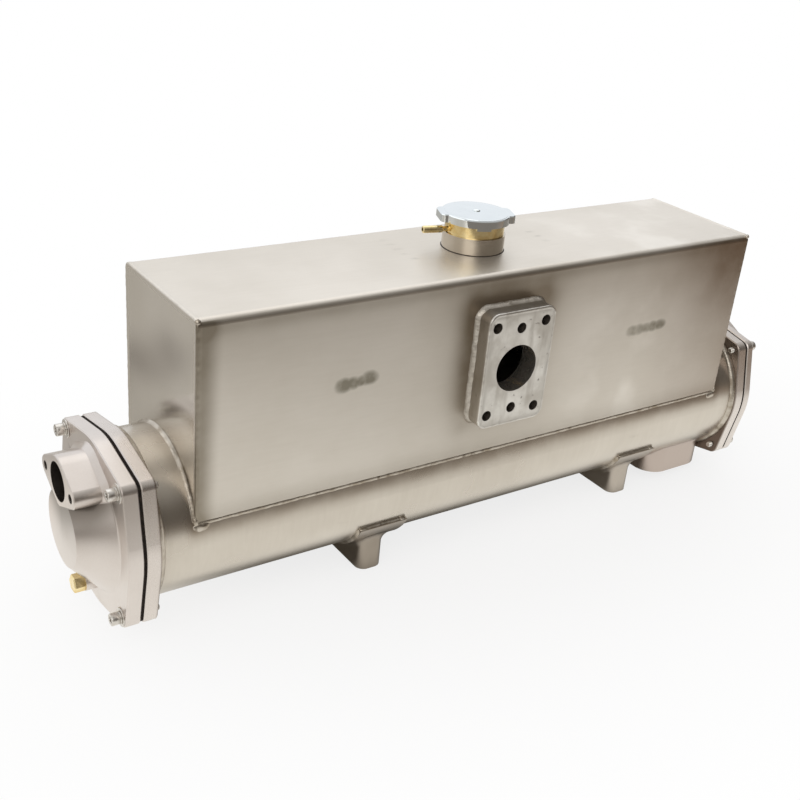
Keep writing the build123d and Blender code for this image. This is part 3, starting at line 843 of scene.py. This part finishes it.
def saddle_beads():
    """Beads along both curved edges of each saddle plate, a short one at each top corner, and a low
    one between them that leaves part of the ledge bare."""
    beads = []
    for number, name in enumerate(ends):
        low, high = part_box(f"saddle_plate_{name}")
        outer, drop = axis_z - low.z, axis_z - high.z
        reach = np.arccos(drop / shell_radius)
        angles = ring_of(shell_radius, -reach, reach)
        skin = np.stack([0 * angles, np.sin(angles), -np.cos(angles)], axis=1)
        for edge, side in ((low.x, -1), (high.x, 1)):
            path = np.array([edge, 0, axis_z]) + shell_radius * skin
            fillet = (saddle_leg, outer - shell_radius, saddle_crown)
            beads.append(bead(path, side * lengthwise, skin, *fillet, 70 + number))
        half = np.sqrt(shell_radius**2 - drop**2)
        ledge = np.sqrt(outer**2 - drop**2) - half
        corner_fillet = (corner_leg, ledge, corner_crown)
        ledge_fillet = (ledge_leg, ledge * ledge_share, ledge_crown)
        runs = [(low.x, low.x + corner_runs[0], corner_fillet, 80),
                (high.x, high.x - corner_runs[1], corner_fillet, 80),
                (low.x + ledge_gaps[0], high.x - ledge_gaps[1], ledge_fillet, 85)]
        for side in (-1, 1):
            tangent = np.array([0, side * drop, half]) / shell_radius
            for first, last, fillet, seed in runs:
                path = line((first, side * half, high.z), (last, side * half, high.z))
                beads.append(bead(path, tangent, -side * forward, *fillet, seed + number))
    return beads


def outlet_bead():
    """Low ground bead where the outlet block meets the shell."""
    return [hanging_bead(outlet_low, outlet_high, outlet_corner, shell_radius, outlet_fillet, 91)]


# Ground seams over the tank's end edges and the port's rim: height, radius over the edge, reach
seam_sink, seam_root = 0.04 * mm, 0.8 * mm
corner_height, corner_roll = 0.45 * mm, (1.7 * mm, 5 * mm)
rim_height, rim_roll = 0.12 * mm, (1.5 * mm, 3.6 * mm)
seam_steps, bend_steps = 260, 16
roll_columns, roll_arc_columns = 9, 8


def edge_roll(path, face, side, height, radius, reach):
    """Rounded seam over a square edge between a face and a side, given by their outward normals.

    It rises from the face by height times the smooth step over the reach, turns the corner with
    the radius, and sinks into the side the same way. Height is one number for each path point.
    """
    share = np.linspace(0, 1, roll_columns)
    climb = share**2 * (3 - 2 * share)
    angle = np.linspace(0, np.pi / 2, roll_arc_columns)[1:-1]
    height = height[:, None]
    lift = -seam_sink + (height + seam_sink) * climb
    inset = reach + (radius - height - reach) * share
    over_face = np.concatenate([lift, height - radius + radius * np.cos(angle), -inset[:, ::-1]], axis=1)
    over_side = np.concatenate([-inset, height - radius + radius * np.sin(angle), lift[:, ::-1]], axis=1)
    face, side = np.broadcast_to(face, path.shape), np.broadcast_to(side, path.shape)
    skin = path[:, None] + over_face[..., None] * face[:, None] + over_side[..., None] * side[:, None]
    root = path - (face + side) * seam_root
    return np.concatenate([skin, root[:, None]], axis=1)


def corner_seams():
    """Ground corner welds along the tank's end edges, up the front, over both bends, down the back."""
    seams = []
    half, low, high = tank_back, axis_z + wall_foot, tank_top
    climb = np.linspace(low, high - tank_bend, seam_steps)
    bend = np.linspace(0, np.pi / 2, bend_steps)[1:-1]
    span = np.linspace(-half + tank_bend, half - tank_bend, seam_steps)
    turn_y, turn_z = np.cos(bend), np.sin(bend)
    y = np.concatenate([0 * climb - half, -half + tank_bend - tank_bend * turn_y, span,
                        half - tank_bend + tank_bend * turn_z, 0 * climb + half])
    z = np.concatenate([climb, high - tank_bend + tank_bend * turn_z, 0 * span + high,
                        high - tank_bend + tank_bend * turn_y, climb[::-1]])
    flat = np.zeros(len(climb))
    out_y = np.concatenate([flat - 1, -turn_y, 0 * span, turn_z, flat + 1])
    out_z = np.concatenate([flat, turn_z, 0 * span + 1, turn_y, flat])
    along = np.concatenate([[0], np.cumsum(np.hypot(np.diff(y), np.diff(z)))])
    for number, (end, side) in enumerate(tank_ends):
        wave = slow_wave(along, along[-1], 100 + number, (11, 19, 31, 53, 71))
        path = np.stack([0 * y + end, y, z], axis=1)
        outward = np.stack([0 * y, out_y, out_z], axis=1)
        height = corner_height * (1 + 0.35 * wave)
        roll = edge_roll(path, side * lengthwise, outward, height, *corner_roll)
        seams.append(surface(roll, False, True))
    return seams


def port_rim():
    """Ground rim of the side port's face: low, rounded and uneven."""
    path, outward = port_outline(port_low.y)
    share = np.linspace(0, 1, len(path), endpoint=False)
    height = rim_height * (1.1 + slow_wave(share, 1, 45, (9, 17, 29, 41, 57)))
    return [surface(edge_roll(path, forward, outward, height, *rim_roll), True, True)]


def turned(profile, centre, axis, segments, radius_at=None):
    """Profile of (radius, distance) rows turned about an axis through centre.

    A point is centre + axis distance + radius (u cos v + w sin v); radius_at may change the
    radius by row and angle, for hexagons and threads.
    """
    axis = np.array(axis, float)
    u = unit(np.cross(axis, [0.0, 0.3, 1.0] if abs(axis[2]) < 0.9 else [1.0, 0, 0]))
    w = np.cross(axis, u)
    angles = np.linspace(0, full_turn, segments, endpoint=False)
    radius, distance = np.array(profile).T
    radius = np.repeat(radius[:, None], segments, axis=1)
    if radius_at is not None:
        radius = radius_at(radius, distance[:, None], angles[None, :])
    spoke = u * np.cos(angles)[:, None] + w * np.sin(angles)[:, None]
    points = np.array(centre) + axis * distance[:, None, None] + radius[..., None] * spoke
    return surface(points, False, True)


# Cover screws: radius and height of the head, its edges, socket, shank, thread and washers
screw_head = (5.2 * mm, 7 * mm)
head_edge, head_bevel, head_foot = 0.7 * mm, 0.2 * mm, (0.3 * mm, 0.4 * mm)
socket_flats, socket_depth, socket_edge = 5 * mm, 3.2 * mm, 0.4 * mm
socket_mouth_share = 0.62
screw_radius, screw_pitch = 3 * mm, 1 * mm
screw_thread_depth, screw_plain, screw_point = 0.25 * mm, 2 * mm, 0.7 * mm
screw_stand = 3.5 * mm
turn_steps = 6
screw_segments, washer_segments = 72, 64
washer = (8.2 * mm, 1 * mm)
spring_washer = (5.5 * mm, 1.2 * mm)
washer_edge = 0.3 * mm


def cap_screw(face, axis, length):
    """Socket-head screw: round head with a hexagon socket, and a thread to its end.

    The profile is turned; rows of radius 1 become the hexagon, flats / 2 / cos(angle from the
    flat's middle), and the thread takes depth (1 + cos(turn)) off the shank.
    """
    radius, height = screw_head
    seat = washer[1] + spring_washer[1]
    top = seat + height
    floor = top - socket_depth
    hexagon = [(0, floor), (1, floor), (1, top - socket_edge)]
    head = [(socket_flats * socket_mouth_share, top), (radius - head_edge, top),
            (radius - head_bevel, top - head_bevel), (radius, top - head_edge),
            (radius, seat + head_foot[1]), (radius - head_foot[0], seat), (screw_radius, seat)]
    rows = np.linspace(0, -length, int(length / screw_pitch * turn_steps))
    shank = [(screw_radius, distance) for distance in rows]
    point = [(screw_radius - screw_point, -length - screw_point), (0, -length - screw_point)]

    def shape(radii, distance, angle):
        sector = np.mod(angle, np.pi / 3) - np.pi / 6
        radii = np.where(radii == 1, socket_flats / 2 / np.cos(sector), radii)
        threaded = (distance < -screw_plain) & (distance > -length)
        turn = full_turn * distance / screw_pitch + angle
        return radii - np.where(threaded, screw_thread_depth * (1 + np.cos(turn)), 0)

    return turned(hexagon + head + shank + point, face, axis, screw_segments, shape)


def flat_ring(face, axis, start, outer, thickness, inner):
    """Washer: a flat ring with its outer corners broken."""
    end = start + thickness
    rows = [(inner, start), (outer - washer_edge, start), (outer, start + washer_edge),
            (outer, end - washer_edge), (outer - washer_edge, end), (inner, end), (inner, start)]
    return turned(rows, face, axis, washer_segments)


def cover_screws(name, side):
    """Four screws with washers through one cover, their ends standing out of the shell's flange."""
    cover_low, cover_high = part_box(f"end_cover_{name}")
    face = cover_low.x + nozzle_height if side < 0 else cover_high.x - nozzle_height
    reach = abs(face - inner_face(name, side)) + screw_stand
    axis = (side, 0, 0)
    parts = []
    for y in (-bolt_reach, bolt_reach):
        for z in (-bolt_reach, bolt_reach):
            place = (face, y, axis_z + z)
            parts.append(cap_screw(place, axis, reach))
            parts.append(flat_ring(place, axis, 0, *washer, screw_radius))
            parts.append(flat_ring(place, axis, washer[1], *spring_washer, screw_radius))
    return parts


# Tapped threads: how far they stay off both ends and the wall, their base and ridge, and their pitches
thread_mouth, thread_end, thread_gap = 0.6 * mm, 0.4 * mm, 0.02 * mm
thread_base, thread_ridge = 0.08 * mm, 0.28 * mm
port_thread_pitch, nozzle_thread_pitch = 1.5 * mm, 1.25 * mm
thread_segments = 36


def thread_sleeve(mouth, axis, radius, depth, pitch):
    """Tapped thread lining a hole: a ridge r = radius - base - ridge (1 + cos(turn)) that winds inwards."""
    rows = np.linspace(-thread_mouth, -depth + thread_end, int(depth / pitch * turn_steps))
    wall = radius - thread_gap
    profile = [(wall, rows[0]), *((radius, row) for row in rows), (wall, rows[-1]), (wall, rows[0])]
    inside = np.arange(len(profile))
    ridged = ((inside > 0) & (inside <= len(rows)))[:, None]

    def shape(radii, distance, angle):
        turn = full_turn * distance / pitch + angle
        return radii - np.where(ridged, thread_base + thread_ridge * (1 + np.cos(turn)), 0)

    return turned(profile, mouth, axis, thread_segments, shape)


def tapped_threads():
    """Threads in the port's six holes and in the two holes of each nozzle."""
    threads = []
    wide, tall = port_hole_grid
    grid = [(x, z) for x in (-wide, wide) for z in (-tall, tall)]
    grid += [(0, -port_middle_reach), (0, port_middle_reach)]
    for x, z in grid:
        mouth = (port_x - port_shift + x, port_low.y, port_z + z)
        hole = (port_hole_radius, port_hole_depth, port_thread_pitch)
        threads.append(thread_sleeve(mouth, forward, *hole))
    for name, side in ends.items():
        low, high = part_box(f"end_cover_{name}")
        face = low.x if side < 0 else high.x
        for y in (-nozzle_bolt_reach, nozzle_bolt_reach):
            mouth = (face, y, axis_z + nozzle_rise)
            hole = (nozzle_hole_radius, nozzle_hole_depth, nozzle_thread_pitch)
            threads.append(thread_sleeve(mouth, side * lengthwise, *hole))
    return threads


# Pressed top of the cap: rivet, crown and the edge that sinks into the cap's plate
rivet_radius, rivet_rise, rivet_gap = 3.6 * mm, 1.5 * mm, 0.05 * mm
crown_radius, crown_foot, crown_rise = 29 * mm, 0.2 * mm, 0.55 * mm
crown_edge, crown_sink = 0.2 * mm, 0.3 * mm
rivet_rows, crown_rows, crown_segments = 18, 50, 96


def cap_crown():
    """Pressed top of the pressure cap: a rivet head on a low crown.

    Height over the cap's plate is foot + rise sqrt(1 - (r / crown radius)^3) on the crown, and
    foot + rise + rivet rise sqrt(1 - (r / rivet radius)^2) on the rivet.
    """
    over_rivet = rivet_radius * np.sin(np.linspace(0, np.pi / 2, rivet_rows))
    radius = np.concatenate([over_rivet, np.linspace(rivet_radius + rivet_gap, crown_radius, crown_rows)])
    rivet = rivet_rise * np.sqrt(np.clip(1 - (radius / rivet_radius) ** 2, 0, 1)) + crown_foot + crown_rise
    crown = crown_rise * np.sqrt(np.clip(1 - (radius / crown_radius) ** 3, 0, 1)) + crown_foot
    height = np.where(radius <= rivet_radius, rivet, crown)
    rows = [*zip(radius, height), (crown_radius + crown_edge, -crown_sink), (0, -crown_sink)]
    return [turned(rows, (neck_x, 0, cap_top - cap_rivet_height), upward, crown_segments)]


add_piece("tank_beads", tank_beads() + corner_blobs(), weld_finish)
add_piece("flange_beads", flange_beads(), weld_finish)
add_piece("port_bead", port_bead(), pad_finish)
add_piece("port_rim", port_rim(), pad_finish)
add_piece("collar_bead", collar_bead(), thread_finish)
add_piece("foot_beads", foot_beads() + outlet_bead(), foot_finish)
add_piece("saddle_beads", saddle_beads(), weld_finish)
add_piece("corner_seams", corner_seams(), sheet_finish)
for name, side in ends.items():
    add_piece(f"cover_screws_{name}", cover_screws(name, side), screw_finish)
add_piece("tapped_threads", tapped_threads(), thread_finish)
add_piece("cap_crown", cap_crown(), chrome_finish, "cap")


# Floor: half its side, and how far under the feet it lies
floor_half, floor_drop = 9.0, 0.6 * mm
# Patches of painted light and shade on the floor that reflections see: colour, middle and width along X,
# then along Y, strength
front_painted_patches = [
    ((0.4, 0.385, 0.36, 1), (0.1, 0.17), (-0.45, 0.17), 0.65),
    ((1, 0.985, 0.95, 1), (0.46, 0.14), (-0.38, 0.14), 1.0),
]
back_painted_patches = [
    ((0.24, 0.22, 0.2, 1), (-0.52, 0.06), (0.47, 0.07), 1.0),
    ((0.3, 0.27, 0.24, 1), (-0.49, 0.05), (0.285, 0.03), 1.0),
    ((1, 0.94, 0.85, 1), (-0.455, 0.05), (0.195, 0.04), 1.0),
]


def painted_reflection_floor(finish):
    """Floor that reflections see, a glowing map of painted light and shade: pale close to the part and
    dimmer further out, with painted patches of light and shade in front and behind on the left, grey
    behind, brown on the right and a painted shadow under the part."""
    wide, deep = (finish.x - 0.05) / 0.95, finish.y / 0.72
    out = (wide * wide + deep * deep).math("SQRT")
    room = finish.blend((1, 0.985, 0.94, 1), (0.2, 0.17, 0.14, 1), out.rise(0.5, 1.35))
    for colour, across, along, strength in front_painted_patches:
        room = finish.blend(room, colour, finish.x.near(*across) * finish.y.near(*along) * strength)
    room = finish.blend(room, (0.52, 0.5, 0.46, 1), finish.y.rise(0.14, 0.32) * 0.9)
    room = finish.blend(room, (0.26, 0.18, 0.12, 1), finish.x.rise(0.55, 1.0) * 0.9)
    for colour, across, along, strength in back_painted_patches:
        room = finish.blend(room, colour, finish.x.near(*across) * finish.y.near(*along) * strength)
    # Painted shadow: the reflected floor goes dark under the part.
    clear = (finish.y * -1).rise(0.03, 0.07).most(finish.y.rise(0.14, 0.3))
    clear = clear.most((finish.x - shell_middle).rise(0.34, 0.42))
    clear = clear.most((finish.x * -1 + shell_middle).rise(0.19, 0.36))
    return finish.blend((0.08, 0.07, 0.056, 1), room, clear)


def add_floor():
    """Pale floor: near white with a soft shadow for the camera, and a glowing map of painted light and
    shade for reflections.
    """
    corner = np.array([-floor_half, floor_half])
    grid = np.stack(np.meshgrid(corner, corner, [-floor_drop], indexing="ij"), axis=-1)[:, :, 0]
    points, quads = surface(grid)
    mesh = bpy.data.meshes.new("floor")
    mesh.from_pydata(points.tolist(), [], quads.tolist())
    floor = bpy.data.objects.new("floor", mesh)
    bpy.context.scene.collection.objects.link(floor)
    finish = Finish("floor")
    seen = finish.node("ShaderNodeLightPath", None, None, "Is Camera Ray")
    mirror = seen.out("Is Glossy Ray").most(seen.out("Is Transmission Ray"))
    lit = finish.node("ShaderNodeBsdfDiffuse", None, {"Color": (0.9, 0.9, 0.9, 1)})
    glow = finish.blend(painted_reflection_floor(finish), (1, 1, 1, 1), seen)
    white = finish.node("ShaderNodeEmission", None, {"Color": glow, "Strength": 1.0})
    away = (finish.x * finish.x * 0.35 + finish.y * finish.y).math("SQRT")
    fade = (away.rise(0.12, 0.5) * 0.22 + 0.78) * seen + mirror * 0.95
    mixed = finish.node("ShaderNodeMixShader", None, {0: fade, 1: lit, 2: white})
    finish.node("ShaderNodeOutputMaterial", None, {"Surface": mixed})
    mesh.materials.append(finish.material)


def add_world():
    """White for the camera; a soft room for reflections: bright behind and above, dim on the left,
    dark in front and on the right."""
    world = bpy.data.worlds.new("room")
    bpy.context.scene.world = world
    world.use_nodes = True
    graph = Graph(world.node_tree)
    direction = graph.node("ShaderNodeTexCoord", None, None, "Generated")
    x, y, z = graph.split(direction)
    path = graph.node("ShaderNodeLightPath", None, None, "Is Camera Ray")
    mirror = path.out("Is Glossy Ray").most(path.out("Is Transmission Ray"))
    level = graph.blend((0.1, 0.085, 0.07, 1), (0.75, 0.73, 0.7, 1), (x * -1).rise(0.0, 0.6))
    level = graph.blend(level, (0.98, 1, 1.03, 1), y.rise(0.2, 0.5))
    above = graph.blend((0.45, 0.44, 0.42, 1), (0.9, 0.9, 0.9, 1), y.rise(-0.5, 0.3))
    room = graph.blend(level, above, z.rise(0.3, 0.9))
    soft = graph.blend((0.78, 0.77, 0.76, 1), room, mirror)
    shown = graph.blend(soft, (1, 1, 1, 1), path)
    background = graph.node("ShaderNodeBackground", None, {"Color": shown, "Strength": 1.0})
    graph.node("ShaderNodeOutputWorld", None, {"Surface": background})


def add_softbox(name, place, target, size, power):
    """Rectangular area light at place, facing target."""
    lamp = bpy.data.lights.new(name, "AREA")
    lamp.shape = "RECTANGLE"
    lamp.size, lamp.size_y = size
    lamp.energy = power
    light = bpy.data.objects.new(name, lamp)
    light.location = place
    light.rotation_euler = (Vector(target) - Vector(place)).to_track_quat("-Z", "Y").to_euler()
    bpy.context.scene.collection.objects.link(light)


def add_camera():
    """Camera of the photograph: its place, its line of sight and its roll."""
    data = bpy.data.cameras.new("camera")
    data.lens = camera_lens
    data.sensor_width = camera_sensor
    data.clip_start = camera_clip
    camera = bpy.data.objects.new("camera", data)
    back = -Vector(camera_forward).normalized()
    right = Vector(camera_up).cross(back).normalized()
    up = back.cross(right)
    turn = Matrix((right, up, back)).transposed().to_4x4()
    camera.matrix_world = Matrix.Translation(camera_place) @ turn
    bpy.context.scene.collection.objects.link(camera)
    bpy.context.scene.camera = camera


add_floor()
add_world()
add_softbox("overhead", (0.1, 0.7, 1.7), (-0.05, 0, 0.2), (2.6, 1.6), 6)
add_softbox("left_fill", (-1.15, -0.96, 1.21), (-0.1, 0, 0.2), (1.2, 1.2), 5)
add_camera()
bpy.context.scene.view_settings.view_transform = "Standard"
